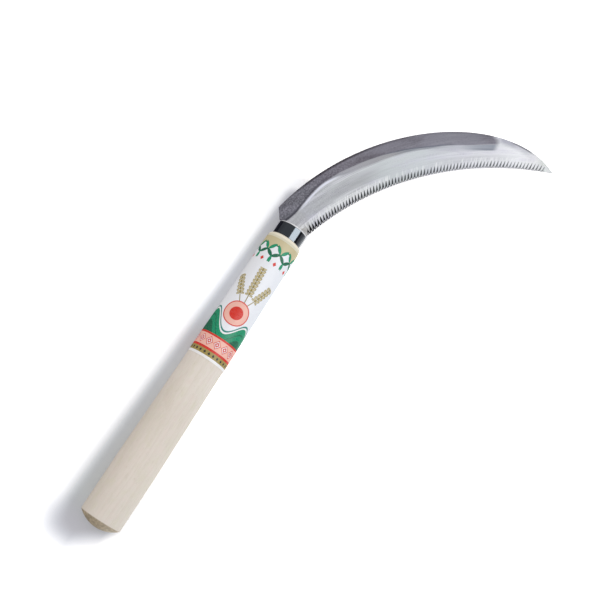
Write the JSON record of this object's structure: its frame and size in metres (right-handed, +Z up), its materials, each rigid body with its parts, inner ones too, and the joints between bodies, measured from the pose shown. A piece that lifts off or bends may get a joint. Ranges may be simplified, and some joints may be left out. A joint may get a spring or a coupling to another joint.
{
  "type": "grass sickle",
  "caption": "Left-handed grass sickle with a serrated crescent blade, a steel ferrule and a tapered round wooden handle, lying flat as on a table.",
  "frame": {"origin": "on the handle's axis, where the straight round grip begins at the butt", "axes": "+X along the handle towards the blade, +Z up as the sickle lies on a table, cutting edge towards -Y"},
  "size_m": [0.3629, 0.1425, 0.028],
  "materials": {
    "handle_wood": "bare sanded pale hardwood",
    "ferrule_black": "glossy black enamel",
    "blade_steel": "ground bevel with a dark mottled spine",
    "pin_steel": "drawn wire",
    "label_print": "printed label film"
  },
  "bodies": {
    "root": {"handle": "handle_wood", "ferrule": "ferrule_black", "blade": "blade_steel", "tang_pin": "pin_steel", "label": "label_print"}
  },
  "joints": []
}
